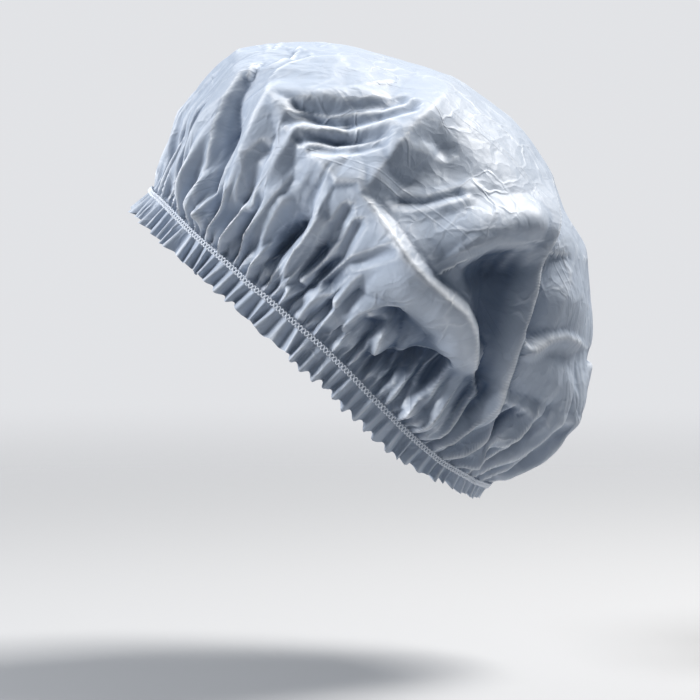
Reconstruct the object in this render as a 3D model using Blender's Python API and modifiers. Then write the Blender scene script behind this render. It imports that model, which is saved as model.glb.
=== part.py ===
# Disposable shower cap in its worn shape: one round sheet of thin film, gathered by a sewn-in elastic.
# Lengths are metres. Each piece is made about the middle of its gather line, lying level, and then tipped.
import math

import bpy
import numpy as np

# Driving sizes
gather_length = 0.252      # oval of the gather line, brow to nape
gather_width = 0.156       # oval of the gather line, ear to ear
gather_tilt = math.radians(40.8)   # how far the nape end hangs below the brow end
gather_dip = 0.0080        # how far the line sags behind the ears
crown_length = 0.290       # widest reach of the puffed crown, brow to nape
crown_width = 0.218        # widest reach of the puffed crown, ear to ear
crown_height = 0.164       # top of the crown above the gather line
ruffle_width = 0.0155      # film left over outside the gather line
nape_ruffle_width = 0.0092   # what is left of it at the nape
ruffle_flare = 0.0008      # how far its edge stands out from the line
film_wall = 0.001
fold_rise = 0.012          # height of a full fold
fold_reach = 0.014         # how far a full fold spreads to each side
pleat_pairs = 48           # the ruffle's pleats, counted in twos
pleat_depth = 0.0024       # of a ruffle pleat at its free edge
gather_depth = 0.0042      # of a gather just above the line
unevenness = 0.42          # most that one pleat's depth differs from the mean, as a share
edge_unevenness = 0.05     # the same for the ruffle's width
elastic_width = 0.005
elastic_wall = 0.001
elastic_gap = 0.0003       # clear between the elastic and the pleats it holds

film_colour = (0.50, 0.58, 0.68)
elastic_colour = (0.85, 0.86, 0.86)

# Sections of the crown from the gather line to its top. A reach is of_gather times the gather line's
# own half size plus the share given here of the crown's. Heights are shares of the crown's height.
section_columns = ("along", "of_gather", "brow", "nape", "ear", "brow_up", "nape_up", "ear_up")
sections = (
    (0.00, 1.00, 0.00, 0.00, 0.00, 0.000, 0.000, 0.00),
    (0.06, 0.50, 0.48, 0.49, 0.43, 0.080, 0.075, 0.06),
    (0.13, 0.00, 0.96, 0.97, 0.87, 0.180, 0.170, 0.15),
    (0.20, 0.00, 1.00, 0.99, 0.95, 0.292, 0.280, 0.24),
    (0.30, 0.00, 0.99, 0.96, 1.00, 0.448, 0.420, 0.39),
    (0.40, 0.00, 0.93, 0.84, 0.99, 0.594, 0.536, 0.54),
    (0.50, 0.00, 0.81, 0.75, 0.92, 0.715, 0.660, 0.68),
    (0.60, 0.00, 0.67, 0.62, 0.79, 0.809, 0.762, 0.80),
    (0.70, 0.00, 0.51, 0.48, 0.62, 0.884, 0.849, 0.89),
    (0.80, 0.00, 0.35, 0.33, 0.42, 0.952, 0.923, 0.955),
    (0.90, 0.00, 0.18, 0.17, 0.22, 0.986, 0.974, 0.99),
    (1.00, 0.00, 0.00, 0.00, 0.00, 0.997, 0.997, 0.997),
)

# Main folds, seen from the side. Each runs start to middle to end: across is a share of the crown's half
# length, towards the nape, and up a share of its height. Lift and spread are shares of fold_rise and
# fold_reach. A drop of 1 makes a step that falls away on the right of the fold's run, 0 a plain ridge.
fold_columns = ("start_across", "start_up", "middle_across", "middle_up", "end_across", "end_up",
                "lift", "spread", "drop")
folds = (
    (-0.85, 0.50, -0.80, 0.26, -0.68, 0.10, -1.0, 0.6, 0.0),   # deep fold over the brow
    (-0.95, 0.45, -0.90, 0.30, -0.80, 0.10, 0.6, 0.7, 0.0),    # roll of film in front of it
    (-0.74, 0.51, -0.65, 0.61, -0.56, 0.69, 0.5, 0.6, 0.0),    # star of ridges above the temple
    (-0.74, 0.51, -0.69, 0.37, -0.62, 0.08, 0.8, 0.6, 0.0),
    (-0.60, 0.48, -0.39, 0.47, -0.26, 0.49, 0.5, 0.6, 0.0),
    (-0.47, 0.10, -0.45, 0.25, -0.39, 0.46, 0.6, 0.6, 0.0),
    (-0.26, 0.94, -0.27, 0.78, -0.26, 0.49, 0.9, 0.8, 0.3),    # ridge down from the top
    (-0.24, 0.48, 0.02, 0.42, 0.21, 0.41, 0.9, 1.1, 0.6),      # overhanging puff, its upper edge
    (0.21, 0.41, 0.43, 0.36, 0.52, 0.14, 1.1, 1.2, 1.0),       # and its drop to the rear hollow
    (0.29, 0.66, 0.46, 0.45, 0.62, 0.16, -1.0, 1.6, 0.0),      # rear hollow
    (0.30, 0.93, 0.45, 0.72, 0.60, 0.50, 0.6, 0.7, -0.6),      # long pleat behind the hollow
    (0.60, 0.50, 0.71, 0.25, 0.75, 0.04, 0.8, 0.8, -0.8),
    (0.35, 0.91, 0.69, 0.68, 0.97, 0.38, 0.5, 0.8, 0.0),       # edge of the rear bulge
    (0.20, 0.03, 0.31, 0.10, 0.43, 0.19, -1.0, 0.5, 0.0),      # slot under the puff
    (0.41, 0.02, 0.45, 0.07, 0.49, 0.16, 0.7, 0.5, 0.0),
    (-0.36, 0.25, -0.31, 0.16, -0.28, 0.05, -0.8, 0.5, 0.0),   # pocket over the ear
    (-0.05, 0.30, 0.04, 0.18, 0.10, 0.04, 0.8, 0.6, 0.0),
    (-0.15, 0.30, -0.12, 0.18, -0.06, 0.04, -0.6, 0.5, 0.0),
)

# Rows of the film's mesh in the gathers: along is a share of the way up the crown, negative in the
# ruffle, depth a share of pleat_depth below the line and of gather_depth above it.
gather_columns = ("along", "depth")
line_depth = 0.5           # of the pleats where the elastic holds them
free_from = 0.08           # how far up the crown the main folds are at full height
dip_end = 0.3              # how far up the crown the gather line's dip has run out
ruffle_rows = ((-1.0, 1.0), (-0.5, 0.85), (0.0, line_depth))
gather_rows = ((0.025, 0.45), (0.055, 0.60))
crown_rows = ((0.09, 1.0), (0.13, 0.9), (0.17, 0.7), (0.21, 0.5), (0.26, 0.35), (0.31, 0.2), (0.37, 0.1),
              (0.43, 0.0), (0.49, 0.0), (0.55, 0.0), (0.61, 0.0), (0.67, 0.0))
top_rows = ((0.74, 0.0), (0.81, 0.0), (0.88, 0.0), (0.94, 0.0))


def column(rows, columns, name):
    """One named column of a table."""
    return np.array([row[columns.index(name)] for row in rows])


def smooth(x, xs, ys):
    """Reads a smooth curve through the points xs, ys: cubic, with each point's slope from its neighbours."""
    slopes = np.gradient(ys, xs)
    i = np.clip(np.searchsorted(xs, x) - 1, 0, len(xs) - 2)
    step = xs[i + 1] - xs[i]
    t = (x - xs[i]) / step
    start = ys[i] * (1 + 2 * t) * (1 - t) ** 2 + slopes[i] * step * t * (1 - t) ** 2
    end = ys[i + 1] * (3 - 2 * t) * t ** 2 - slopes[i + 1] * step * (1 - t) * t ** 2
    return start + end


def section(name, along):
    """A column of the section table, read at any way up the crown."""
    return smooth(along, column(sections, section_columns, "along"), column(sections, section_columns, name))


def dip(turn):
    """How far the gather line lies below its flat oval: a soft bump behind each ear."""
    behind = np.exp(-((np.cos(turn) - math.cos(math.radians(45))) / 0.4) ** 2)
    return gather_dip * behind * np.sqrt(np.abs(np.sin(turn)))


def crown_form(turn, along):
    """The crown without folds. turn goes round from the nape, along from the gather line to the top."""
    ahead = np.where(np.cos(turn) > 0, section("nape", along), section("brow", along))
    ahead_up = np.where(np.cos(turn) > 0, section("nape_up", along), section("brow_up", along))
    ear_up = section("ear_up", along)
    held = section("of_gather", along)
    reach_x = held * gather_length / 2 + ahead * crown_length / 2
    reach_y = held * gather_width / 2 + section("ear", along) * crown_width / 2
    up = ear_up + (ahead_up - ear_up) * np.cos(turn) ** 2
    drop = dip(turn) * np.clip(1 - along / dip_end, 0, 1) ** 2
    return np.stack([reach_x * np.cos(turn), reach_y * np.sin(turn), up * crown_height - drop], axis=-1)


def off_gather(turn):
    """Directions square to the gather line's oval, in its plane."""
    out = np.stack([np.cos(turn) / gather_length, np.sin(turn) / gather_width, 0 * turn], axis=-1)
    return out / np.linalg.norm(out, axis=-1, keepdims=True)


def off_line(across, up, a, b, c):
    """Distance from the bent line a-b-c seen from the side, which side of it, and a fade at its ends."""
    best = np.full(across.shape, np.inf)
    side = np.zeros(across.shape)
    way = np.zeros(across.shape)
    for p, q, start in ((a, b, 0.0), (b, c, 0.5)):
        dx, dy = q[0] - p[0], q[1] - p[1]
        t = np.clip(((across - p[0]) * dx + (up - p[1]) * dy) / (dx * dx + dy * dy), 0, 1)
        away = np.hypot(across - p[0] - t * dx, up - p[1] - t * dy)
        nearer = away < best
        turned = np.sign((up - p[1]) * dx - (across - p[0]) * dy)
        best = np.where(nearer, away, best)
        side = np.where(nearer, turned, side)
        way = np.where(nearer, start + t / 2, way)
    return best, side, np.sqrt(np.clip(np.sin(math.pi * (0.08 + 0.84 * way)), 0, 1))


def fold_lift(points):
    """How far the main folds lift the film. The far side carries the near side's folds end for end."""
    half = crown_length / 2
    near = 0.5 - 0.5 * np.tanh(points[..., 1] / fold_reach)
    lift = np.zeros(points.shape[:-1])
    for flip, weight in ((1, near), (-1, 1 - near)):
        across = flip * points[..., 0]
        for row in folds:
            fold = dict(zip(fold_columns, row))
            ends = [(fold[k + "_across"] * half, fold[k + "_up"] * crown_height)
                    for k in ("start", "middle", "end")]
            away, side, fade = off_line(across, points[..., 2], *ends)
            spread = fold["spread"] * fold_reach
            ridge = np.exp(-(away / spread) ** 1.3)
            step = -fold["drop"] * side * (away / spread) * np.exp(-away / spread)
            lift += weight * fold_rise * fade * (fold["lift"] * ridge + 0.8 * abs(fold["lift"]) * step)
    return lift


def outwards(form, turn, along):
    """Directions square to the crown, by small differences on its formula."""
    tiny = 1e-3
    low = np.clip(along - tiny, 0, 1)
    high = np.clip(along + tiny, 0, 1)
    round_way = form(turn + tiny, along) - form(turn - tiny, along)
    up_way = form(turn, high) - form(turn, low)
    square = np.cross(round_way, up_way)
    return square / np.linalg.norm(square, axis=-1, keepdims=True)


def uneven(index, count):
    """A steady unevenness from pleat to pleat, at most the named share."""
    turn = 2 * math.pi * index / count
    waves = 0.45 * np.sin(7 * turn + 1) + 0.32 * np.sin(19 * turn + 2) + 0.23 * np.sin(31 * turn)
    return 1 + unevenness * waves


def film_row(along, depth, every):
    """One row of the film's mesh, a zigzag. every is 1 in the gathers, and 2 or 4 where columns thin out."""
    columns = 4 * pleat_pairs
    index = np.arange(0, columns, every)
    turn = 2 * math.pi * index / columns
    zigzag = np.where((index // every) % 2 == 0, 1, -1) * uneven(index, columns)
    if along <= 0:
        points = crown_form(turn, np.zeros(len(turn)))
        # The ruffle narrows towards the nape and flares a little all round
        behind = np.clip((np.cos(turn) - 0.45) / 0.4, 0, 1)
        narrowed = 1 + (nape_ruffle_width / ruffle_width - 1) * behind
        edge = 1 + edge_unevenness * (uneven(index, columns) - 1) / unevenness
        points[:, 2] += along * ruffle_width * narrowed * edge
        flare = -along * ruffle_flare
        return points + off_gather(turn) * (zigzag * depth * pleat_depth + flare)[:, None]
    way = np.full(len(turn), along)
    points = crown_form(turn, way)
    lift = fold_lift(points) * np.clip(along / free_from, 0, 1)
    return points + outwards(crown_form, turn, way) * (lift + zigzag * depth * gather_depth / 2)[:, None]


def loft(rows, closing_point):
    """Faces between rows of points, each as long as the last or half of it, then a fan to one point."""
    points = [tuple(p) for row in rows for p in row] + [tuple(closing_point)]
    faces = []
    base = 0
    for lower, upper in zip(rows, rows[1:]):
        n, m = len(lower), len(upper)
        top = base + n
        for i in range(m):
            nxt = (i + 1) % m
            if n == m:
                faces.append((base + i, base + nxt, top + nxt, top + i))
            else:
                low = [base + 2 * i, base + 2 * i + 1, base + (2 * i + 2) % n]
                faces.append((low[0], low[1], top + i))
                faces.append((low[1], top + nxt, top + i))
                faces.append((low[1], low[2], top + nxt))
        base = top
    last = len(rows[-1])
    faces += [(base + i, base + (i + 1) % last, base + last) for i in range(last)]
    return points, faces


def material(name, colour, roughness):
    """A plain finish: colour, roughness and no metal."""
    made = bpy.data.materials.new(name)
    made.use_nodes = True
    shader = made.node_tree.nodes["Principled BSDF"]
    shader.inputs["Base Color"].default_value = (*colour, 1)
    shader.inputs["Roughness"].default_value = roughness
    shader.inputs["Metallic"].default_value = 0
    return made


def sheet(name, points, faces, wall, finish, home):
    """One object from an open surface, given its wall by Solidify and tipped to the worn angle."""
    mesh = bpy.data.meshes.new(name)
    mesh.from_pydata(points, [], faces)
    mesh.materials.append(finish)
    mesh.shade_smooth()
    piece = bpy.data.objects.new(name, mesh)
    home.objects.link(piece)
    piece.rotation_euler = (0, gather_tilt, 0)
    solid = piece.modifiers.new("wall", "SOLIDIFY")
    solid.thickness = wall
    solid.offset = 0
    return piece


def make_film(home):
    """The film: ruffle, gathers and crown in one sheet, with fewer columns towards the top."""
    rows = [film_row(along, depth, 1) for along, depth in ruffle_rows + gather_rows]
    rows += [film_row(along, depth, 2) for along, depth in crown_rows]
    rows += [film_row(along, depth, 4) for along, depth in top_rows]
    top = crown_form(np.zeros(1), np.ones(1))[0]
    points, faces = loft(rows, top)
    return sheet("film", points, faces, film_wall, material("film", film_colour, 0.3), home)


def make_elastic(home):
    """The elastic: a plain band just inside the pleats' inner edges, along the gather line."""
    count = 2 * pleat_pairs
    turn = 2 * math.pi * np.arange(count) / count
    line = crown_form(turn, np.zeros(count))
    below = column(ruffle_rows, gather_columns, "along") * ruffle_width
    edge_depth = np.interp(-elastic_width / 2, below, column(ruffle_rows, gather_columns, "depth"))
    inner = np.arange(1, 4 * pleat_pairs, 2)
    deepest = edge_depth * pleat_depth * uneven(inner, 4 * pleat_pairs).max()
    inset = deepest + film_wall / 2 + elastic_gap + elastic_wall / 2
    middle = line - off_gather(turn) * inset
    half = np.array([0, 0, elastic_width / 2])
    points = [tuple(p) for p in middle - half] + [tuple(p) for p in middle + half]
    faces = [(i, (i + 1) % count, count + (i + 1) % count, count + i) for i in range(count)]
    return sheet("elastic_band", points, faces, elastic_wall, material("elastic", elastic_colour, 0.8), home)


for thing in list(bpy.data.objects):
    bpy.data.objects.remove(thing, do_unlink=True)
cap = bpy.data.collections.new("shower_cap")
bpy.context.scene.collection.children.link(cap)
make_film(cap)
make_elastic(cap)
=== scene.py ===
import math

import bpy
import numpy as np
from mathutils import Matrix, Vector
from mathutils.geometry import delaunay_2d_cdt


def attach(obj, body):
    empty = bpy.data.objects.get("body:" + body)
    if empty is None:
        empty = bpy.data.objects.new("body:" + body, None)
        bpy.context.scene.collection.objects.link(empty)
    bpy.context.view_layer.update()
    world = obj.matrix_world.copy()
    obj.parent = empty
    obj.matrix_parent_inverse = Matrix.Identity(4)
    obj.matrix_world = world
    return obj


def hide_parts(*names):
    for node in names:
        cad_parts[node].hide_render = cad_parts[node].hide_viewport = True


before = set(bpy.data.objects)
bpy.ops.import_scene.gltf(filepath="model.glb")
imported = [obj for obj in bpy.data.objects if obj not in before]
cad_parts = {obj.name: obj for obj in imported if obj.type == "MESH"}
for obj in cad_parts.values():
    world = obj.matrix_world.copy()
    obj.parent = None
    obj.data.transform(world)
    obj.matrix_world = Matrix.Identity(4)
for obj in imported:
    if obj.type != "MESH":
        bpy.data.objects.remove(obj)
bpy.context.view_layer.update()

# The worn form: the gather line's oval, and how far the crown puffs out over it
form = dict(
    gatherLength=0.252,
    gatherWidth=0.156,
    gatherTilt=math.radians(40.8),
    gatherDip=0.0080,     # how far the line sags behind the ears
    dipAt=math.radians(45),
    dipSpread=0.4,        # in cosines of the turn
    dipEnd=0.3,           # how far up the crown the dip has run out
    crownLength=0.290,
    crownWidth=0.218,
    crownHeight=0.164,
    sideBlend=0.016,      # how wide a band the near and the far side's folds blend over
)
# Reaches and heights of the crown from the gather line to its top: a reach is ofGather times the gather
# line's own half size plus a share of half the crown's, a height is a share of the crown's
sectionColumns = ("along", "ofGather", "brow", "nape", "ear", "browUp", "napeUp", "earUp")
sections = np.array((
    (0.00, 1.00, 0.00, 0.00, 0.00, 0.000, 0.000, 0.00),
    (0.06, 0.50, 0.48, 0.49, 0.43, 0.080, 0.075, 0.06),
    (0.13, 0.00, 0.96, 0.97, 0.87, 0.180, 0.170, 0.15),
    (0.20, 0.00, 1.00, 0.99, 0.95, 0.292, 0.280, 0.24),
    (0.30, 0.00, 0.99, 0.96, 1.00, 0.448, 0.420, 0.39),
    (0.40, 0.00, 0.93, 0.84, 0.99, 0.594, 0.536, 0.54),
    (0.50, 0.00, 0.81, 0.75, 0.92, 0.715, 0.660, 0.68),
    (0.60, 0.00, 0.67, 0.62, 0.79, 0.809, 0.762, 0.80),
    (0.70, 0.00, 0.51, 0.48, 0.62, 0.884, 0.849, 0.89),
    (0.80, 0.00, 0.35, 0.33, 0.42, 0.952, 0.923, 0.955),
    (0.90, 0.00, 0.18, 0.17, 0.22, 0.986, 0.974, 0.99),
    (1.00, 0.00, 0.00, 0.00, 0.00, 0.997, 0.997, 0.997),
))


def smoothCurve(x, xs, ys):
    # Cubic through the points xs, ys, each point's slope from its neighbours
    slopes = np.gradient(ys, xs)
    i = np.clip(np.searchsorted(xs, x) - 1, 0, len(xs) - 2)
    step = xs[i + 1] - xs[i]
    t = (x - xs[i]) / step
    start = ys[i] * (1 + 2 * t) * (1 - t) ** 2 + slopes[i] * step * t * (1 - t) ** 2
    end = ys[i + 1] * (3 - 2 * t) * t**2 - slopes[i + 1] * step * (1 - t) * t**2
    return start + end


def sectionOf(name, along):
    # One column of the table, read at any way up the crown
    return smoothCurve(along, sections[:, 0], sections[:, sectionColumns.index(name)])


def crownForm(turn, along):
    # An oval that grows from the gather line's to the crown's and closes at the top; turn 0 is the nape
    toNape = np.cos(turn) > 0
    ahead = np.where(toNape, sectionOf("nape", along), sectionOf("brow", along))
    aheadUp = np.where(toNape, sectionOf("napeUp", along), sectionOf("browUp", along))
    earUp = sectionOf("earUp", along)
    held = sectionOf("ofGather", along)
    reachX = held * form["gatherLength"] / 2 + ahead * form["crownLength"] / 2
    reachY = held * form["gatherWidth"] / 2 + sectionOf("ear", along) * form["crownWidth"] / 2
    behindEar = np.exp(-(((np.cos(turn) - math.cos(form["dipAt"])) / form["dipSpread"]) ** 2))
    runOut = np.clip(1 - along / form["dipEnd"], 0, 1) ** 2
    dip = form["gatherDip"] * behindEar * np.sqrt(np.abs(np.sin(turn))) * runOut
    up = (earUp + (aheadUp - earUp) * np.cos(turn) ** 2) * form["crownHeight"] - dip
    return np.stack([reachX * np.cos(turn), reachY * np.sin(turn), up], axis=-1)


def squareToCrown(turn, along):
    # Outward direction of crownForm: cross product of small steps round it and up it, kept off its two ends
    tiny = 1e-3
    along = np.clip(along, 0.002, 0.995)
    roundWay = crownForm(turn + tiny, along) - crownForm(turn - tiny, along)
    upWay = crownForm(turn, along + tiny) - crownForm(turn, along - tiny)
    square = np.cross(roundWay, upWay)
    return square / np.linalg.norm(square, axis=-1, keepdims=True)


def squareToLine(turn):
    # Outward direction from the gather line's oval, in its plane
    x, y = np.cos(turn) / form["gatherLength"], np.sin(turn) / form["gatherWidth"]
    out = np.stack([x, y, 0 * turn], axis=-1)
    return out / np.linalg.norm(out, axis=-1, keepdims=True)


def tipped(points):
    # Turns points about Y from the level gather line to the worn angle
    c, s = math.cos(form["gatherTilt"]), math.sin(form["gatherTilt"])
    x, y, z = points[..., 0], points[..., 1], points[..., 2]
    return np.stack([x * c + z * s, y, z * c - x * s], axis=-1)


# Creases of the crown, seen from the near side: path in mm (towards the nape, up) from the middle of the
# gather line, height in mm at its start and end, and how far in mm it slopes away to the left and to the
# right of someone who goes along the path
creases = (
    (((-41, 142), (-48, 132), (-55, 119), (-60, 104), (-63, 91), (-64, 76)), 5, 8, 3, 22),
    (((-39, 142), (-46, 132), (-53, 119), (-58, 104), (-61, 91), (-62, 76)), -4, -8, 16, 2),
    (((-34, 153), (-46, 150), (-53, 141), (-62, 128), (-67, 115)), 2, 3, 5, 5),
    (((-65, 129), (-71, 112), (-75, 95), (-77, 75)), 2, 3, 5, 6),
    (((-74, 115), (-79, 100), (-83, 83)), -2, -3, 5, 6),
    (((-38, 148), (-29, 149), (-23, 152), (-19, 156)), 4, 3, 3, 12),
    (((-44, 159), (-31, 159), (-28, 161)), 3, 2, 3, 10),
    (((-38, 148), (-38, 139)), 4, 2, 5, 5),
    (((-25, 134), (-36, 134), (-44, 134)), 8, 5, 14, 22),
    (((-25, 134), (1, 136), (21, 141)), 8, 4, 22, 16),
    (((-25, 134), (-36, 111), (-50, 88), (-60, 65)), 8, 5, 20, 14),
    (((-25, 134), (-11, 116)), 8, 8, 18, 18),
    (((-11, 116), (-2, 117), (8, 121)), 8, 3, 12, 6),
    (((-11, 116), (6, 95)), 8, 8, 14, 16),
    (((-11, 116), (-21, 103), (-30, 88)), 8, 4, 10, 12),
    (((-28, 107), (-34, 102), (-44, 81)), -3, -3, 4, 3),
    (((6, 95), (10, 91), (21, 90), (23, 86)), 8, 10, 20, 10),
    (((6, 95), (-1, 80), (-3, 71), (-10, 62), (-21, 53), (-29, 37)), 8, 6, 18, 4),
    (((4, 92), (-4, 78), (-7, 70), (-14, 61), (-24, 52)), -2, -8, 4, 9),
    (((74, 143), (52, 120)), 1, 7, 16, 20),
    (((52, 120), (39, 106), (24, 85)), 7, 9, 16, 18),
    (((24, 83), (34, 69), (47, 50), (58, 39), (67, 31), (77, 22), (84, 10), (86, -14)), 10, 12, 4.5, 38),
    (((86, -14), (74, -27), (71, -30)), 12, 5, 4, 16),
    (((71, -30), (75, -40), (83, -49), (88, -66), (75, -75)), 3, 4, 5, 14),
    (((22, -14), (44, -13), (67, -14), (57, -27)), -9, -6, 3.5, 5),
    (((23, -23), (34, -24)), -7, -5, 4, 4),
    (((26, 16), (34, 10), (32, 3), (28, -10), (22, -23)), 6, 5, 7, 5),
    (((11, 11), (18, 17), (31, 22), (48, 26)), 5, 6, 12, 5),
    (((16, 6), (26, 12), (38, 15)), -4, -3, 5, 8),
    (((129, 90), (125, 60)), 1, 6, 4, 14),
    (((125, 60), (120, 31), (113, 6), (99, -38), (91, -56), (86, -67)), 6, 7, 4, 20),
    (((134, 84), (132, 62), (128, 36), (120, 8)), -3, -5, 10, 5),
    (((80, 50), (96, 57), (110, 57)), 6, 8, 26, 5),
    (((110, 57), (120, 54)), 8, 4, 26, 5),
    (((135, 80), (142, 49), (147, 18), (149, -17), (143, -46)), 1, 1, 6, 8),
    (((120, -4), (129, 2), (137, 3), (147, -2)), 2.5, 2.5, 4, 7),
    (((104, -37), (124, -43), (105, -58)), 4, 3, 6, 6),
    (((143, -46), (128, -48), (113, -63), (105, -74)), 3, 2, 6, 6),
    (((136, -59), (122, -66), (108, -76)), 1, 1, 5, 5),
    (((-14, 120), (-9, 124), (10, 124), (50, 129)), -3, -3, 4, 3),
    (((-9, 112), (11, 114), (36, 117)), -3, -3, 4, 3),
    (((-2, 107), (14, 108), (34, 112)), -3, -2, 4, 3),
    (((-12, 128), (14, 130), (45, 134)), -2, -2, 3, 3),
    (((42, 88), (62, 84), (83, 89)), 1.5, 1.5, 5, 5),
    (((36, 76), (56, 78), (79, 82)), 1.5, 2, 5, 6),
    (((40, 81), (58, 81), (76, 86)), -1, -2, 3, 3),
    (((52, 114), (62, 114), (70, 110)), -2, -2, 7, 5),
    (((-50, 43), (-44, 63), (-42, 71)), -5, -3, 3, 3),
    (((-30, 33), (-23, 49), (-14, 66)), -9, -7, 4, 4),
    (((-16, 33), (-9, 43), (2, 59), (15, 76)), -6, -3, 3, 4),
    (((-12, 35), (6, 54), (21, 70)), 6, 3, 5, 5),
    (((-4, 38), (10, 50), (21, 68)), -4, -3, 3, 4),
    (((6, 24), (18, 38), (33, 49)), 6, 3, 5, 5),
    (((1, 32), (14, 46), (38, 55)), -4, -2, 3, 4),
    (((38, 40), (46, 49)), 4, 3, 5, 4),
    (((-78, 70), (-71, 89), (-65, 106)), 4, 2, 5, 4),
    (((-55, 52), (-46, 75), (-34, 95)), 5, 2, 5, 4),
    (((-39, 35), (-34, 58), (-21, 80)), 5, 3, 5, 5),
    (((29, -32), (36, -24), (48, -21)), 4, 3, 5, 5),
    (((48, -35), (55, -47), (71, -39)), 4, 4, 6, 6),
)
# Wide swells and hollows of the same side: path, height at its start and end, and reach, all in mm
swells = (
    (((106, 46), (98, 22), (94, 0), (87, -24)), -17, -17, 19),
    (((38, 14), (50, 9), (58, 3)), -13, -11, 11),
    (((86, 42), (108, 46)), -8, -8, 9),
    (((50, 58), (80, 64), (112, 64)), 5, 8, 15),
    (((46, 36), (74, 18), (82, -2)), 6, 7, 17),
    (((26, -15), (66, -17)), -9, -11, 13),
    (((46, 92), (66, 100)), -4, -4, 18),
    (((-52, 72), (-30, 96)), 3, 4, 22),
    (((132, -8), (122, -42)), -3, -4, 14),
    (((36, -34), (66, -44)), 5, 6, 12),
    (((-10, 50), (20, 20)), -3, -3, 16),
)

# Parts of the same side where the film is stretched smooth between the folds: path and reach in mm
calm = (
    (((38, 24), (62, 4), (82, 0)), 24),
    (((92, 40), (104, 0)), 24),
    (((128, 30), (124, -20)), 20),
    (((66, 136), (96, 112), (116, 86)), 26),
)


def offPath(x, z, path):
    # Distance in the side view from a bent path, which side of it, and how far along it the nearest place is
    best = np.full(x.shape, np.inf)
    side, way = np.zeros(x.shape), np.zeros(x.shape)
    path = np.array(path) / 1000.0
    lengths = np.linalg.norm(np.diff(path, axis=0), axis=1)
    starts = np.concatenate([[0], np.cumsum(lengths)]) / lengths.sum()
    for k in range(len(lengths)):
        (px, pz), (dx, dz) = path[k], path[k + 1] - path[k]
        t = np.clip(((x - px) * dx + (z - pz) * dz) / lengths[k] ** 2, 0, 1)
        away = np.hypot(x - px - t * dx, z - pz - t * dz)
        nearer = away < best
        best = np.where(nearer, away, best)
        side = np.where(nearer, np.sign((z - pz) * dx - (x - px) * dz), side)
        way = np.where(nearer, starts[k] + t * (starts[k + 1] - starts[k]), way)
    return best, side, way


def bothSides(points):
    # Share and side view of the near side's folds at each point, then of the far side's, which are the same
    # folds end for end; the two blend over the top by a hyperbolic tangent
    near = 0.5 - 0.5 * np.tanh(points[..., 1] / form["sideBlend"])
    for flip, share in ((1, near), (-1, 1 - near)):
        side = tipped(points * np.array([flip, 1, 1]))
        yield share, side[..., 0], side[..., 2]


def foldHeight(points):
    # Height of the folds and how firmly the film keeps to them. Swells are bell curves and add up; over
    # them the highest ridge and the deepest valley at each place count, so ridges meet sharply.
    total, firm = np.zeros(points.shape[:-1]), np.zeros(points.shape[:-1])
    for share, x, z in bothSides(points):
        ridge, valley = np.zeros(x.shape), np.zeros(x.shape)
        for path, first, last, left, right in creases:
            away, hand, way = offPath(x, z, path)
            top = film["creaseShare"] * (first + (last - first) * way) / 1000.0
            reach = np.maximum(np.where(hand > 0, left, right) / 1000.0, np.abs(top) / film["steepest"])
            away = np.hypot(away, film["crestRound"]) - film["crestRound"]
            height = top * np.clip(1 - away / reach, 0, 1) ** film["slopeCurve"]
            ridge, valley = np.maximum(ridge, height), np.minimum(valley, height)
        total += share * (ridge + valley)
        firm += share * np.clip((ridge - valley) / film["firmFrom"], 0, 1) ** 2
        for path, first, last, reach in swells:
            away, _, way = offPath(x, z, path)
            rise = film["swellShare"] * (first + (last - first) * way) / 1000.0
            total += share * rise * np.exp(-((away * 1000.0 / reach) ** 2))
    return total, firm


def calmness(points):
    # How smooth the film lies, from 0 to 1: the highest of flat-topped curves off the calm paths
    total = np.zeros(points.shape[:-1])
    for share, x, z in bothSides(points):
        for path, reach in calm:
            away = offPath(x, z, path)[0]
            total = np.maximum(total, share * np.exp(-((away * 1000.0 / reach) ** 4)))
    return total


def wavePhase(turn, along, count, wander, seed):
    # Phase of count waves round the cap whose spacing wanders: eight slow sines of chance strength shift it
    draw = np.random.default_rng(seed)
    shift = np.zeros_like(turn)
    for k in range(1, 9):
        strength, start, climb = draw.normal() / k, draw.uniform(0, 2 * math.pi), draw.normal() * 4
        shift = shift + strength * np.sin(k * turn + start + along * climb)
    return count * turn + wander * shift


def gatherWave(turn, along, count, wander, seed):
    # Folds with sharp ridges and round valleys where a slow sine is high, 1 - 2|sin|, and round ridges with
    # sharp valleys where it is low, 2|cos| - 1
    phase = wavePhase(turn, along, count, wander, seed)
    ridged = 0.5 + 0.5 * np.sin(5 * turn + 9 * along + seed)
    return ridged * (1 - 2 * np.abs(np.sin(phase / 2))) + (1 - ridged) * (2 * np.abs(np.cos(phase / 2)) - 1)


def chance(turn, count, seed):
    # A chance number from -1 to 1 at each of count places round the cap, straight lines between them
    draw = np.random.default_rng(seed).uniform(-1, 1, count)
    place = (turn / (2 * math.pi)) % 1 * count
    i = np.floor(place).astype(int) % count
    t = place - np.floor(place)
    return draw[i] * (1 - t) + draw[(i + 1) % count] * t


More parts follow.
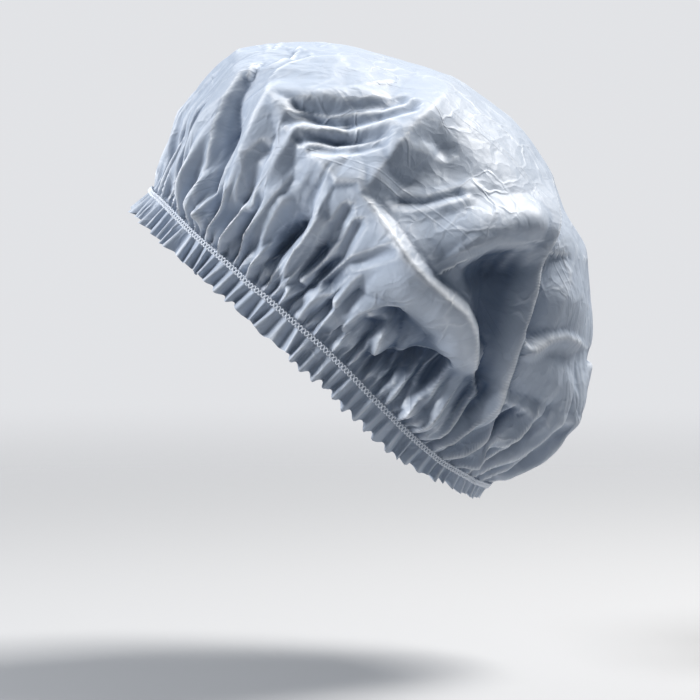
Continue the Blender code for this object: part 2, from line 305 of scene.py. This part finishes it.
film = dict(
    sheetRadius=0.254,    # from the middle of the flat sheet to the stitches
    grid=288,             # cells across the flat sheet; it settles on a quarter of them first, then on half
    # The ruffle
    ruffleWidth=0.0155,
    napeRuffleWidth=0.0092,
    widthUneven=0.10,     # share by which the ruffle's width differs round the cap
    widthLean=0.09,       # and from a pleat's outer to its inner edge
    narrowFrom=0.45,      # cosine of the turn where it starts to narrow towards the nape
    narrowOver=0.4,
    pleats=96,
    pleatSpacing=0.8,     # how far single pleats stray from even spacing
    pleatLean=0.85,       # how far the zigzag leans to one side or the other
    pleatRound=0.15,      # share of a plain sine in it
    pleatTwist=0.22,      # chance part finer than a pleat
    rimDepth=0.0013,      # of a pleat at the stitches, half of it
    rimUneven=0.35,
    edgeDepth=0.0025,     # and at the ruffle's free edge
    edgeUneven=0.8,
    depthCurve=0.8,       # how soon a pleat reaches that depth
    edgeWander=0.0012,    # how far the edge strays in and out over several pleats
    lean=0.0032,          # how far a pleat leans over along the line
    bunch=0.0005,         # how much a pleat swells at its outer edge
    flare=0.0006,
    ruffleRows=12,
    # Gathers: height, count, wander, how far up the crown, and how wide a band there
    gathers=(
        (0.0026, 128, 1.8, 0.01, 0.05),
        (0.0012, 97, 3.0, 0.13, 0.07),
        (0.0045, 62, 2.5, 0.08, 0.07),
        (0.0043, 29, 2.5, 0.17, 0.09),
        (0.0020, 15, 3.0, 0.33, 0.14),
    ),
    gatherSink=0.7,       # how far the gathers lie under the worn form, as a share of their height
    calmShare=0.8,        # how much the calm places flatten gathers and crumples
    calmFirm=0.5,         # how firmly the film keeps to the worn form there
    calmCrowd=0.3,        # how much shorter it may be there
    # Creases and swells
    creaseShare=1.35,     # of the heights in the table
    steepest=2.5,         # slope of a crease's side at most
    slopeCurve=1.05,
    crestRound=0.0011,
    swellShare=1.2,
    firmFrom=0.0078,      # height of a crease that the film keeps to firmly
    firmPull=0.05,
    crisp=0.85,           # share of the way back to the worn form there once it has settled
    # Crumpled facets: spacing and height
    crumples=((0.036, 0.0032), (0.016, 0.0014)),
    # How far up the crown each of these reaches its full height, and where the rim's pleats have run out
    gathersFrom=0.01,
    rimEnd=0.02,
    foldsFrom=0.06,
    crumplesFrom=0.15,
    # Settling
    steps=(200, 200, 220),
    give=1.40,            # how far the film stretches over a sharp fold
    crowd=0.92,           # and how short it may be, because its finest wrinkles are too small for the grid
    unrest=0.0002,
    pull=0.004,           # share of the way back to the worn form at each step
    slide=0.001,          # the same along the surface
    ease=0.002,           # share by which a bend opens at each step
    slack=0.010,          # furthest that the film strays from the worn form
    rimSlack=0.0012,      # and how little of that is left at the stitches
    slackFrom=0.14,       # share of the way up the crown where the slack is full
    # Painted highlight on sharp ridges and painted shade in creases: cells away, height for the full amount,
    # and shares of the painted highlight and of the painted shade
    shades=((1, 0.0006, 1.0, 0.45), (3, 0.0032, 0.15, 0.55)),
    shadeFrom=0.03,       # how far up the crown they are in full
    deepFrom=0.0055,      # depth under the worn form where the painted shade of hollows starts
    deepOver=0.0085,
    pleatPaintedHighlight=(0.8, 6),  # share and power of the painted highlight on the pleats' crests, then of the painted shade in their folds
    pleatPaintedShade=(0.9, 3),
    rimShade=0.4,         # share of that at the stitches
)


def flatDisc(n):
    # Square grid squeezed onto a round sheet: rings of the square become circles
    g = np.linspace(-1, 1, n + 1)
    a, b = np.meshgrid(g, g, indexing="ij")
    wide = np.abs(a) > np.abs(b)
    with np.errstate(divide="ignore", invalid="ignore"):
        phi = np.where(wide, math.pi / 4 * (b / a), math.pi / 2 - math.pi / 4 * (a / b))
    phi = np.where((a == 0) & (b == 0), 0.0, phi)
    r = np.where(wide, a, b)
    return r * np.cos(phi), r * np.sin(phi)


def crumple(x, y, spacing, height, seed):
    # Flat facets with sharp creases, as in crushed film: chance heights at chance places of the flat sheet,
    # joined by triangles, and on each triangle the height is a plane
    draw = np.random.default_rng(seed)
    reach = 1.1 * film["sheetRadius"]
    rows = int(2 * reach / spacing) + 1
    i, j = np.meshgrid(np.arange(rows), np.arange(rows), indexing="ij")
    stray = draw.uniform(-0.45, 0.45, (rows**2, 2))
    places = np.stack([i, j], axis=-1).reshape(-1, 2) * spacing - reach + stray * spacing
    level = draw.uniform(-1, 1, len(places)) * height
    made = delaunay_2d_cdt([Vector(p) for p in places], [], [], 0, 1e-6)
    place, level = np.array([tuple(p) for p in made[0]]), level[[source[0] for source in made[3]]]
    total = np.zeros(x.shape)
    for a, b, c in made[2]:
        pa, u, v = place[a], place[b] - place[a], place[c] - place[a]
        span = u[0] * v[1] - u[1] * v[0]
        low, high = place[[a, b, c]].min(axis=0), place[[a, b, c]].max(axis=0)
        near = np.nonzero((x >= low[0]) & (x <= high[0]) & (y >= low[1]) & (y <= high[1]))
        dx, dy = x[near] - pa[0], y[near] - pa[1]
        s, t = (dx * v[1] - dy * v[0]) / span, (dy * u[0] - dx * u[1]) / span
        inside = (s >= 0) & (t >= 0) & (s + t <= 1)
        hit = (near[0][inside], near[1][inside])
        total[hit] = level[a] + s[inside] * (level[b] - level[a]) + t[inside] * (level[c] - level[a])
    return total


def pleatWave(turn):
    # A zigzag, the arc sine of a sine, with slightly rounded edges. It leans to one side or the other, and
    # its spacing wanders from pleat to pleat.
    f, pleats = film, film["pleats"]
    strayed = turn + f["pleatSpacing"] / pleats * chance(turn, pleats // 2, 17)
    phase = wavePhase(strayed, 0 * turn, pleats, 1.8, 1)
    sine = np.sin(phase + f["pleatLean"] * chance(turn, 40, 18) * np.sin(phase))
    zigzag = (1 - f["pleatRound"]) * 2 / math.pi * np.arcsin(sine)
    return f["pleatRound"] * sine + zigzag + f["pleatTwist"] * chance(turn, 260, 19)


def rimStrength(turn):
    # Chance strength of the pleats where the stitches hold them
    return 1 + film["rimUneven"] * chance(turn, 96, 11)


def wornGuide(px, py):
    # The form that the film settles on, at places of the flat disc: crownForm lifted outwards by folds,
    # gathers, crumples and the rim's pleats. With it come its outward direction, how firmly the film keeps
    # to it and how rough it is.
    f = film
    turn, along = np.arctan2(py, px), np.clip(1 - np.hypot(px, py), 0, 1)
    base = crownForm(turn, along)
    out = squareToCrown(turn, along)
    lift, firm = foldHeight(base)
    lift = lift * np.clip(along / f["foldsFrom"], 0, 1)
    smooth = calmness(base)
    rough = 1 - f["calmShare"] * smooth
    firm = np.maximum(firm, f["calmFirm"] * smooth)
    for height, count, wander, middle, band in f["gathers"]:
        rise = np.exp(-(((along - middle) / band) ** 2)) * np.clip(along / f["gathersFrom"], 0, 1)
        gather = rough * gatherWave(turn, along, count, wander, count) - f["gatherSink"]
        lift = lift + height * gather * rise
    x, y = px * f["sheetRadius"], py * f["sheetRadius"]
    for k, (spacing, height) in enumerate(f["crumples"]):
        facets = rough * crumple(x, y, spacing, height, 30 + k)
        lift = lift + facets * np.clip(along / f["crumplesFrom"], 0, 1)
    rim = f["rimDepth"] * pleatWave(turn) * rimStrength(turn)
    lift = lift + np.where(along < f["rimEnd"], rim * (1 - along / f["rimEnd"]), 0)
    return base + out * lift[..., None], out, firm[..., None], rough


def edgeSets(n):
    # Slices that pair up neighbours along, across and on both diagonals, no point twice in one set
    every = slice(None)
    sets = []
    for start in (0, 1):
        stop = (n + 1 - start) // 2 * 2 + start
        a, b = slice(start, stop, 2), slice(start + 1, stop, 2)
        sets += [((a, every), (b, every)), ((every, a), (every, b))]
        sets += [((a, slice(0, -1)), (b, slice(1, None))), ((a, slice(1, None)), (b, slice(0, -1)))]
    return sets


def settle(points, flat, guide, out, firm, rough, held, steps):
    # Film that doesn't stretch: each step sets every edge to its flat length, opens bends a little, and
    # pulls the film back towards the worn form
    n = len(points) - 1
    sets = []
    for a, b in edgeSets(n):
        rest = np.linalg.norm(flat[a] - flat[b], axis=-1)
        least = rest * (film["crowd"] - film["calmCrowd"] * (1 - rough[a]))
        rest = np.clip(np.linalg.norm(guide[a] - guide[b], axis=-1), least, rest * film["give"])
        freeA, freeB = np.where(held[a], 0.0, 1.0), np.where(held[b], 0.0, 1.0)
        both = np.maximum(freeA + freeB, 1e-9)
        sets.append((a, b, rest, (freeA / both)[..., None], (freeB / both)[..., None]))
    free = (~held)[..., None]
    up = np.clip((1 - np.linalg.norm(flat, axis=-1) / film["sheetRadius"]) / film["slackFrom"], 0, 1)
    slack = (film["rimSlack"] + (film["slack"] - film["rimSlack"]) * up)[..., None]
    pull, slide = film["pull"] + film["firmPull"] * firm, film["slide"] + film["firmPull"] / 2 * firm
    for _ in range(steps):
        for a, b, rest, shareA, shareB in sets:
            d = points[b] - points[a]
            length = np.sqrt(np.einsum("ijk,ijk->ij", d, d)) + 1e-12
            fix = ((length - rest) / length)[..., None] * d
            points[a] += shareA * fix
            points[b] -= shareB * fix
        bend = np.zeros_like(points)
        bend[1:-1] += points[2:] + points[:-2] - 2 * points[1:-1]
        bend[:, 1:-1] += points[:, 2:] + points[:, :-2] - 2 * points[:, 1:-1]
        points += free * film["ease"] * bend
        back = guide - points
        inOut = np.einsum("ijk,ijk->ij", back, out)[..., None]
        points += free * (pull * inOut * out + slide * (back - inOut * out))
        over = np.abs(inOut) - slack
        points += free * np.where(over > 0, np.sign(inOut) * over, 0) * out
    return points


def softened(field):
    # Each point of a grid averaged with its neighbours along, then across: half of it, a quarter of each
    soft = field.copy()
    soft[1:-1] = (field[:-2] + 2 * field[1:-1] + field[2:]) / 4
    across = soft.copy()
    across[:, 1:-1] = (soft[:, :-2] + 2 * soft[:, 1:-1] + soft[:, 2:]) / 4
    return across


def crownGrid():
    # The sheet inside the stitches, coarse to fine: each level starts from the last one's shift off the guide
    px, py = flatDisc(film["grid"])
    flat = np.stack([px, py], axis=-1) * film["sheetRadius"]
    levels = [(flat, *wornGuide(px, py))]
    for _ in film["steps"][1:]:
        spread, guide, *others = levels[-1]
        levels.append([field[::2, ::2] for field in (spread, softened(guide), *others)])
    rounds = list(zip(levels[::-1], film["steps"]))
    shift = None
    for (spread, guide, out, firm, rough), steps in rounds[: 3]:
        points = guide.copy()
        if shift is not None:
            fine = np.zeros_like(guide)
            fine[::2, ::2] = shift
            fine[1::2, ::2] = (shift[1:] + shift[:-1]) / 2
            fine[:, 1::2] = (fine[:, 2::2] + fine[:, :-2:2]) / 2
            points += fine
        held = np.ones(points.shape[:2], bool)
        held[1:-1, 1:-1] = False
        points[held] = guide[held]
        unrest = np.random.default_rng(5).normal(0, film["unrest"], points.shape)
        points += (~held)[..., None] * unrest
        points = settle(points, spread, guide, out, firm, rough, held, steps)
        shift = softened(softened(points - guide)) * (1 - film["crisp"] * firm)
        points = guide + shift
        print("film settled on a grid of", len(points) - 1)
    return points, spread


def ruffleRow(turn, t):
    # One row of the ruffle, t from 0 at the stitches to 1 at its edge: the rim's pleats grow deeper, lean
    # and swell, and hang down square to the gather line
    f = film
    out = squareToLine(turn)
    way = np.cross([0.0, 0.0, 1.0], out)
    phase = pleatWave(turn)
    quarter = np.gradient(phase, turn)
    quarter = quarter / (np.abs(quarter).max() + 1e-9)
    strength = 1 + f["edgeUneven"] * chance(turn, 96, 12) * t
    depth = f["rimDepth"] * rimStrength(turn) * (1 - t) + f["edgeDepth"] * strength * t ** f["depthCurve"]
    narrow = np.clip((np.cos(turn) - f["narrowFrom"]) / f["narrowOver"], 0, 1)
    width = f["ruffleWidth"] + (f["napeRuffleWidth"] - f["ruffleWidth"]) * narrow
    uneven = 1 + f["widthUneven"] * chance(turn, 150, 13)
    width = width * (uneven + f["widthLean"] * phase * (0.5 + chance(turn, 40, 14)))
    sideways = -f["bunch"] * t * 2 * phase * quarter + f["lean"] * t * chance(turn, 96, 15)
    outwards = depth * phase + f["flare"] * t + f["edgeWander"] * t * chance(turn, 30, 16)
    points = crownForm(turn, 0 * turn)
    points += out * outwards[:, None]
    points += way * sideways[:, None]
    points[:, 2] -= width * t
    return points


def foldShade(points, flat):
    # From 1 on a sharp ridge, which gets a painted highlight, to -1 in a crease or a deep hollow, which gets
    # painted shade where little light comes: height over the mean of four neighbours, close by and further
    # off, and depth under the worn form
    square = np.cross(np.gradient(points, axis=0), np.gradient(points, axis=1))
    outside = np.sign((square * (points - points.mean(axis=(0, 1)))).sum())
    square *= outside / np.linalg.norm(square, axis=-1, keepdims=True)
    shade = np.zeros(points.shape[:2])
    for reach, full, ridge, crease in film["shades"]:
        p = np.pad(points, ((reach, reach), (reach, reach), (0, 0)), mode="edge")
        mean = p[2 * reach:, reach:-reach] + p[:-2 * reach, reach:-reach]
        mean = (mean + p[reach:-reach, 2 * reach:] + p[reach:-reach, :-2 * reach]) / 4
        over = ((points - mean) * square).sum(axis=-1) / full
        shade += ridge * np.clip(over, 0, 1) - crease * np.clip(-over, 0, 1)
    turn = np.arctan2(flat[..., 1], flat[..., 0])
    along = 1 - np.linalg.norm(flat, axis=-1) / film["sheetRadius"]
    depth = ((crownForm(turn, along) - points) * squareToCrown(turn, along)).sum(axis=-1)
    shade *= np.clip(along / film["shadeFrom"], 0, 1)
    # Painted shade deepens in hollows that lie further than deepFrom under the worn form
    return shade - np.clip((depth - film["deepFrom"]) / film["deepOver"], 0, 1)


def makeFilm():
    # One sheet: the crown's grid, and rows of the ruffle that carry on from its rim
    crown, flat = crownGrid()
    n = len(crown) - 1
    index = np.arange((n + 1) ** 2).reshape(n + 1, n + 1)
    corners = [index[:-1, :-1], index[1:, :-1], index[1:, 1:], index[:-1, 1:]]
    faces = [np.stack(corners, axis=-1).reshape(-1, 4)]
    rim = np.concatenate([index[:-1, 0], index[-1, :-1], index[:0:-1, -1], index[0, :0:-1]])
    rimFlat = flat.reshape(-1, 2)[rim]
    # Unwrapped, so that slopes round the rim have no jump
    turn = np.unwrap(np.arctan2(rimFlat[:, 1], rimFlat[:, 0]))
    points, places, last = [crown.reshape(-1, 3)], [flat.reshape(-1, 2)], rim
    shades = [foldShade(crown, flat).ravel()]
    # Painted highlight on the ruffle's pleat crests and painted shade in its pleat folds, weaker at the
    # stitches
    pleat = pleatWave(turn)
    (ridge, sharp), (crease, narrow) = film["pleatPaintedHighlight"], film["pleatPaintedShade"]
    pleatShade = ridge * np.clip(pleat, 0, 1) ** sharp - crease * np.clip(-pleat, 0, 1) ** narrow
    for k in range(1, film["ruffleRows"] + 1):
        t = k / film["ruffleRows"]
        row = (n + 1) ** 2 + (k - 1) * len(rim) + np.arange(len(rim))
        points.append(ruffleRow(turn, t))
        places.append(rimFlat * (1 + t * film["ruffleWidth"] / film["sheetRadius"]))
        shades.append(pleatShade * (film["rimShade"] + (1 - film["rimShade"]) * t))
        faces.append(np.stack([last, row, np.roll(row, -1), np.roll(last, -1)], axis=-1))
        last = row
    points, faces, places = np.concatenate(points), np.concatenate(faces), np.concatenate(places)
    piece = meshPiece("film_sheet", tipped(points), faces, places)
    layer = piece.data.attributes.new("foldShade", "FLOAT", "POINT")
    layer.data.foreach_set("value", np.concatenate(shades).astype(np.float32))
    return piece


def meshPiece(name, points, faces, places=None):
    # A mesh object from arrays of points and four-sided faces; places become its UV map, in metres round 0.5
    mesh = bpy.data.meshes.new(name)
    mesh.from_pydata(points.tolist(), [], faces.tolist())
    mesh.shade_smooth()
    if places is not None:
        corners = np.empty(len(mesh.loops), dtype=np.int32)
        mesh.loops.foreach_get("vertex_index", corners)
        layer = mesh.uv_layers.new(name="flatSheet")
        layer.data.foreach_set("uv", (places[corners] + 0.5).astype(np.float32).ravel())
    piece = bpy.data.objects.new(name, mesh)
    bpy.context.scene.collection.objects.link(piece)
    return piece


stitches = dict(
    count=172,            # zigzags round the line
    swing=0.0014,         # half the height of a zigzag
    blunt=1.35,           # how much taller it would be without its cut-off corners
    off=0.0024,           # how far the thread lies outside the gather line
    weave=0.00018,        # how far the two threads pass over and under each other
    weaveStart=1.5,       # where on that wave each one starts
    offUneven=0.0004,
    upUneven=0.0005,
    radius=0.00038,
    steps=12,             # points on each zigzag
    sides=6,
)


def makeStitches():
    # Two threads that zigzag against each other over the gathers: a round profile along a triangle wave
    s = stitches
    count = s["count"] * s["steps"]
    turn = np.linspace(0, 2 * math.pi, count, endpoint=False)
    line = crownForm(turn, 0 * turn)
    out = squareToLine(turn)
    ring = 2 * math.pi * np.arange(s["sides"]) / s["sides"]
    upShare, sideShare = np.cos(ring)[None, :, None], np.sin(ring)[None, :, None]
    points, faces = [], []
    for strand, hand in enumerate((1, -1)):
        zigzag = np.clip(s["blunt"] * 2 / math.pi * np.arcsin(np.sin(s["count"] * turn)), -1, 1) * hand
        lift = s["weave"] * np.sin(s["count"] * turn * 2 + s["weaveStart"] * hand)
        off = s["off"] + lift + s["offUneven"] * chance(turn, 96, 21)
        middle = line + out * off[:, None]
        middle[:, 2] += s["swing"] * zigzag + s["upUneven"] * chance(turn, 60, 22)
        ahead = np.roll(middle, -1, axis=0) - np.roll(middle, 1, axis=0)
        ahead /= np.linalg.norm(ahead, axis=1, keepdims=True)
        sideways = np.cross(ahead, out)
        sideways /= np.linalg.norm(sideways, axis=1, keepdims=True)
        level = np.cross(sideways, ahead)
        tube = middle[:, None] + s["radius"] * (upShare * level[:, None] + sideShare * sideways[:, None])
        index = strand * count * s["sides"] + np.arange(count * s["sides"]).reshape(count, s["sides"])
        after = np.roll(index, -1, axis=0)
        corners = [index, np.roll(index, -1, 1), np.roll(after, -1, 1), after]
        faces.append(np.stack(corners, axis=-1).reshape(-1, 4))
        points.append(tube.reshape(-1, 3))
    return meshPiece("stitches", tipped(np.concatenate(points)), np.concatenate(faces))


class Wire:
    # A shader socket that takes Python's arithmetic: each sign adds a Math node
    def __init__(self, tree, socket):
        self.tree, self.socket = tree, socket

    def __add__(self, other):
        return self.tree.math("ADD", self, other)

    def __sub__(self, other):
        return self.tree.math("SUBTRACT", self, other)

    def __rsub__(self, other):
        return self.tree.math("SUBTRACT", other, self)

    def __mul__(self, other):
        return self.tree.math("MULTIPLY", self, other)

    __radd__, __rmul__ = __add__, __mul__


class Tree:
    # The nodes of a material or a world, and its main shader
    def __init__(self, owner, shader="Principled BSDF"):
        owner.use_nodes = True
        self.owner, self.nodes, self.links = owner, owner.node_tree.nodes, owner.node_tree.links
        self.shader = self.nodes[shader]

    def add(self, kind, settings=None, *values, output=0, **named):
        # A node from its type and settings, with values or wires for its sockets, by order or by name
        node = self.nodes.new(kind)
        for key, value in (settings or {}).items():
            setattr(node, key, value)
        for key, value in list(enumerate(values)) + [(k.replace("_", " "), v) for k, v in named.items()]:
            self.put(node.inputs[key], value)
        return Wire(self, node.outputs[output])

    def math(self, operation, *values):
        # One Math node
        return self.add("ShaderNodeMath", dict(operation=operation), *values)

    def above(self, wire):
        # The wire's value, or 0 where it is lower
        return self.math("MAXIMUM", wire, 0.0)

    def noise(self, place, scale, detail=2.0, dimensions="2D", output=0):
        # Soft noise of about scale waves to a metre
        settings, sockets = dict(noise_dimensions=dimensions), dict(Vector=place, Scale=scale, Detail=detail)
        return self.add("ShaderNodeTexNoise", settings, output=output, **sockets)

    def cells(self, place, scale, feature="F1"):
        # Distance to the middle of the nearest of the flat sheet's chance cells, or to the nearest cell edge
        settings = dict(voronoi_dimensions="2D", feature=feature)
        return self.add("ShaderNodeTexVoronoi", settings, Vector=place, Scale=scale)

    def mix(self, share, first, second):
        # From the first colour at share 0 to the second at share 1
        node = self.nodes.new("ShaderNodeMix")
        node.data_type = "RGBA"
        for socket, value in ((0, share), (6, first), (7, second)):
            self.put(node.inputs[socket], value)
        return Wire(self, node.outputs[2])

    def put(self, socket, value):
        # Links a wire; any other value is set straight on the socket
        if isinstance(value, Wire):
            self.links.new(value.socket, socket)
        else:
            socket.default_value = value

    def set(self, **named):
        # Sockets of the main shader
        for key, value in named.items():
            self.put(self.shader.inputs[key.replace("_", " ")], value)


filmLook = dict(
    colour=(0.415, 0.47, 0.555, 1),
    deepColour=(0.37, 0.425, 0.51, 1),
    # A painted highlight colour for ridges and small creases, and a painted shade colour for creases and
    # hollows
    paintedHighlightColour=(0.84, 0.87, 0.91, 1),
    paintedShadeColour=(0.075, 0.115, 0.19, 1),
    paintedHighlightShare=0.8,       # share of painted highlight on the sheet's own ridges
    paintedLineHighlightShare=0.30,       # and of painted highlight on the sharp small creases
    creaseShare=0.75,     # share of painted shade in the sheet's own creases and hollows
    glow=(0.43, 0.50, 0.60, 1),
    roughness=0.50,
    refraction=1.45,
    through=0.08,         # share of the light that comes through the film
    bump=0.6,
    # Patterns on the flat sheet: cells or waves to a metre, and height
    patchScale=14.0,
    bendScale=45.0,
    bend=0.016,           # how far that moves the cells of facets and lines
    facets=(85.0, 0.0013),
    smallFacets=(240.0, 0.0005),
    grain=(900.0, 0.00004),
    lines=(55.0, 0.0008),
    lineSlope=11.0,       # one over a line's half width, in cells
    whereScale=30.0,
    whereSlope=2.2,       # how sharply the lines start and end
    whereFrom=0.9,
    packSpacing=0.036,    # half the distance between pairs of packing folds
    packOff=0.0024,       # half the distance inside a pair
    packWidth=0.0009,     # half a fold's
    packHeight=0.00022,
)


def filmMaterial():
    # Noise, cell and line patterns on the flat sheet add up to the bump's height, and foldShade mixes a
    # painted highlight on ridges and painted shade in creases and hollows into the colour
    t, f = Tree(bpy.data.materials.new("film")), filmLook
    flat = t.add("ShaderNodeTexCoord", output="UV")
    soft = t.noise(flat, f["patchScale"], 3.0)
    stray = t.noise(flat, f["bendScale"], output="Color")
    stray = t.add("ShaderNodeVectorMath", dict(operation="SCALE"), stray, Scale=f["bend"])
    bent = t.add("ShaderNodeVectorMath", dict(operation="ADD"), flat, stray)
    # Sharp straight lines: parts of the edges between large cells
    lineSize, lineRise = f["lines"]
    edge, where = t.cells(bent, lineSize, "DISTANCE_TO_EDGE"), t.noise(flat, f["whereScale"], 1.0)
    line = t.above(1 - edge * f["lineSlope"]) * t.above(where * f["whereSlope"] - f["whereFrom"])
    # Packing folds: pairs of straight ridges across the flat sheet
    across = t.add("ShaderNodeSeparateXYZ", None, flat, output="Y")
    nearest = t.math("PINGPONG", across - 0.5, f["packSpacing"])
    fold = t.above(1 - t.math("ABSOLUTE", nearest - f["packOff"]) * (1 / f["packWidth"]))
    (size, rise), (smallSize, smallRise), (grainSize, grainRise) = f["facets"], f["smallFacets"], f["grain"]
    height = t.cells(bent, size) * rise + t.cells(bent, smallSize) * smallRise * soft
    height = height + t.noise(flat, grainSize) * grainRise + fold * f["packHeight"] + line * lineRise
    normal = t.add("ShaderNodeBump", None, Strength=f["bump"], Distance=1.0, Height=height)
    shade = t.add("ShaderNodeAttribute", dict(attribute_name="foldShade"), output="Fac")
    # Painted highlight on foldShade's ridges and on the small sharp lines, then painted shade in its creases
    # and hollows
    pale = t.math("MINIMUM", t.above(shade) * f["paintedHighlightShare"] + line * f["paintedLineHighlightShare"], 1.0)
    colour = t.mix(soft, f["colour"], f["deepColour"])
    colour = t.mix(pale, colour, f["paintedHighlightColour"])
    colour = t.mix(t.above(shade * -1.0) * f["creaseShare"], colour, f["paintedShadeColour"])
    t.set(Base_Color=colour, Roughness=f["roughness"], Normal=normal, IOR=f["refraction"])
    # A share of the light comes through the film
    through = t.add("ShaderNodeBsdfTranslucent", None, Color=f["glow"])
    both = t.add("ShaderNodeMixShader", None, f["through"], Wire(t, t.shader.outputs[0]), through)
    t.put(t.nodes["Material Output"].inputs[0], both)
    return t.owner


threadLook = dict(
    colour=(0.72, 0.76, 0.82, 1),
    roughness=0.75,
    fibreScale=2500.0,
    fibreHeight=0.0002,
    bump=0.4,
)


def threadMaterial():
    # Matt thread with fine noise for its fibres
    t, f = Tree(bpy.data.materials.new("thread")), threadLook
    place = t.add("ShaderNodeTexCoord", output="Object")
    fibre = t.noise(place, f["fibreScale"], dimensions="3D")
    normal = t.add("ShaderNodeBump", None, Strength=f["bump"], Distance=f["fibreHeight"], Height=fibre)
    t.set(Base_Color=f["colour"], Roughness=f["roughness"], Normal=normal)
    return t.owner


elasticLook = dict(
    colour=(0.84, 0.85, 0.86, 1),
    roughness=0.8,
    ribs=420.0,           # round the oval
    ovalShare=1.6,        # the oval's length over its width
    ribShare=0.5,
    weaveScale=1800.0,
    weaveShare=0.4,
    bumpHeight=0.0005,
    bump=0.5,
)


def elasticMaterial():
    # Fine ribs across the band, a sine of the angle round the oval, with noise for the weave
    t, f = Tree(bpy.data.materials.new("covered elastic")), elasticLook
    place = t.add("ShaderNodeTexCoord", output="Object")
    about = dict(rotation_type="Y_AXIS")
    level = t.add("ShaderNodeVectorRotate", about, Vector=place, Angle=-form["gatherTilt"])
    x, y = (t.add("ShaderNodeSeparateXYZ", None, level, output=axis) for axis in "XY")
    ribs = t.math("SINE", t.math("ARCTAN2", y * f["ovalShare"], x) * f["ribs"])
    weave = t.noise(place, f["weaveScale"], dimensions="3D")
    height = ribs * f["ribShare"] + weave * f["weaveShare"]
    normal = t.add("ShaderNodeBump", None, Strength=f["bump"], Distance=f["bumpHeight"], Height=height)
    t.set(Base_Color=f["colour"], Roughness=f["roughness"], Normal=normal)
    return t.owner


print("film")
filmSheet = makeFilm()
filmSheet.data.materials.append(filmMaterial())
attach(filmSheet, "root")
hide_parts("film")

print("stitches")
thread = makeStitches()
thread.data.materials.append(threadMaterial())
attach(thread, "root")

print("elastic")
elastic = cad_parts["elastic_band"]
elastic.data.materials.clear()
elastic.data.materials.append(elasticMaterial())

studio = dict(
    # Camera
    mmPerPixel=0.57,
    elevation=math.radians(4),
    distance=2.5,
    pictureSide=700,
    originPixel=(321, 336),
    # Floor
    floorDrop=0.188,      # under the middle of the gather line
    floorRadius=1.9,
    floorCorners=96,
    floorFade=(0.35, 1.8),   # where it starts to thin out and where it has gone
    floorColour=(0.415, 0.42, 0.43, 1),
    floorRoughness=0.8,
    # Lamps: place, watts, size and colour
    key=((0.90, 0.38, 1.40), 54, 0.7, (1.0, 0.97, 0.93)),
    fill=((-1.70, -0.50, 1.2), 60, 0.8, (0.97, 0.98, 1.0)),
    # The backdrop as the camera sees it, and the bluish light that everything else gets from it
    backdrop=(0.80, 0.81, 0.835, 1),
    backdropStrength=0.95,
    skyColour=(0.50, 0.72, 1.0, 1),
    ambient=0.090,
)


def makeFloor():
    # A pale round floor that thins out towards its rim by a smooth step of the distance from its middle
    s = studio
    mesh = bpy.data.meshes.new("floor")
    turn = np.linspace(0, 2 * math.pi, s["floorCorners"], endpoint=False)
    x, y = s["floorRadius"] * np.cos(turn), s["floorRadius"] * np.sin(turn)
    rim = np.stack([x, y, 0 * turn - s["floorDrop"]], axis=-1)
    mesh.from_pydata(rim.tolist(), [], [list(range(s["floorCorners"]))])
    floor = bpy.data.objects.new("floor", mesh)
    bpy.context.scene.collection.objects.link(floor)
    t = Tree(bpy.data.materials.new("pale floor"))
    place = t.add("ShaderNodeTexCoord", output="Object")
    reach = t.add("ShaderNodeVectorMath", dict(operation="LENGTH"), place, output="Value")
    smooth = dict(interpolation_type="SMOOTHSTEP")
    fade = t.add("ShaderNodeMapRange", smooth, reach, *s["floorFade"], 1.0, 0.0)
    t.set(Base_Color=s["floorColour"], Roughness=s["floorRoughness"], Alpha=fade)
    mesh.materials.append(t.owner)


def makeLight(name, place, power, size, colour):
    # A square area lamp aimed at the middle of the gather line
    lamp = bpy.data.lights.new(name, "AREA")
    lamp.energy, lamp.size, lamp.color = power, size, colour
    holder = bpy.data.objects.new(name, lamp)
    holder.location = place
    holder.rotation_euler = (-Vector(place)).to_track_quat("-Z", "Y").to_euler()
    bpy.context.scene.collection.objects.link(holder)


def makeWorld():
    # Backdrop for rays from the camera, ambient light for all others
    s = studio
    world = bpy.data.worlds.new("studio")
    bpy.context.scene.world = world
    t = Tree(world, "Background")
    seen = t.add("ShaderNodeLightPath", output="Is Camera Ray")
    strength = t.add("ShaderNodeMapRange", None, seen, To_Min=s["ambient"], To_Max=s["backdropStrength"])
    t.set(Color=t.mix(seen, s["skyColour"], s["backdrop"]), Strength=strength)


def makeCamera():
    # Looks at the near side from a little above; the lens gives mmPerPixel at the cap's middle
    s, scene = studio, bpy.context.scene
    camera = bpy.data.objects.new("camera", bpy.data.cameras.new("camera"))
    scene.collection.objects.link(camera)
    back = Vector((0, -math.cos(s["elevation"]), math.sin(s["elevation"])))
    camera.location = back * s["distance"]
    camera.rotation_euler = (-back).to_track_quat("-Z", "Y").to_euler()
    side = s["pictureSide"]
    camera.data.lens = camera.data.sensor_width * s["distance"] / (side * s["mmPerPixel"] / 1000)
    camera.data.shift_x = (side / 2 - s["originPixel"][0]) / side
    camera.data.shift_y = -(side / 2 - s["originPixel"][1]) / side
    camera.data.clip_end = 100
    scene.camera = camera
    scene.view_settings.view_transform = "Standard"


print("studio")
makeFloor()
makeLight("key", *studio["key"])
makeLight("fill", *studio["fill"])
makeWorld()
makeCamera()
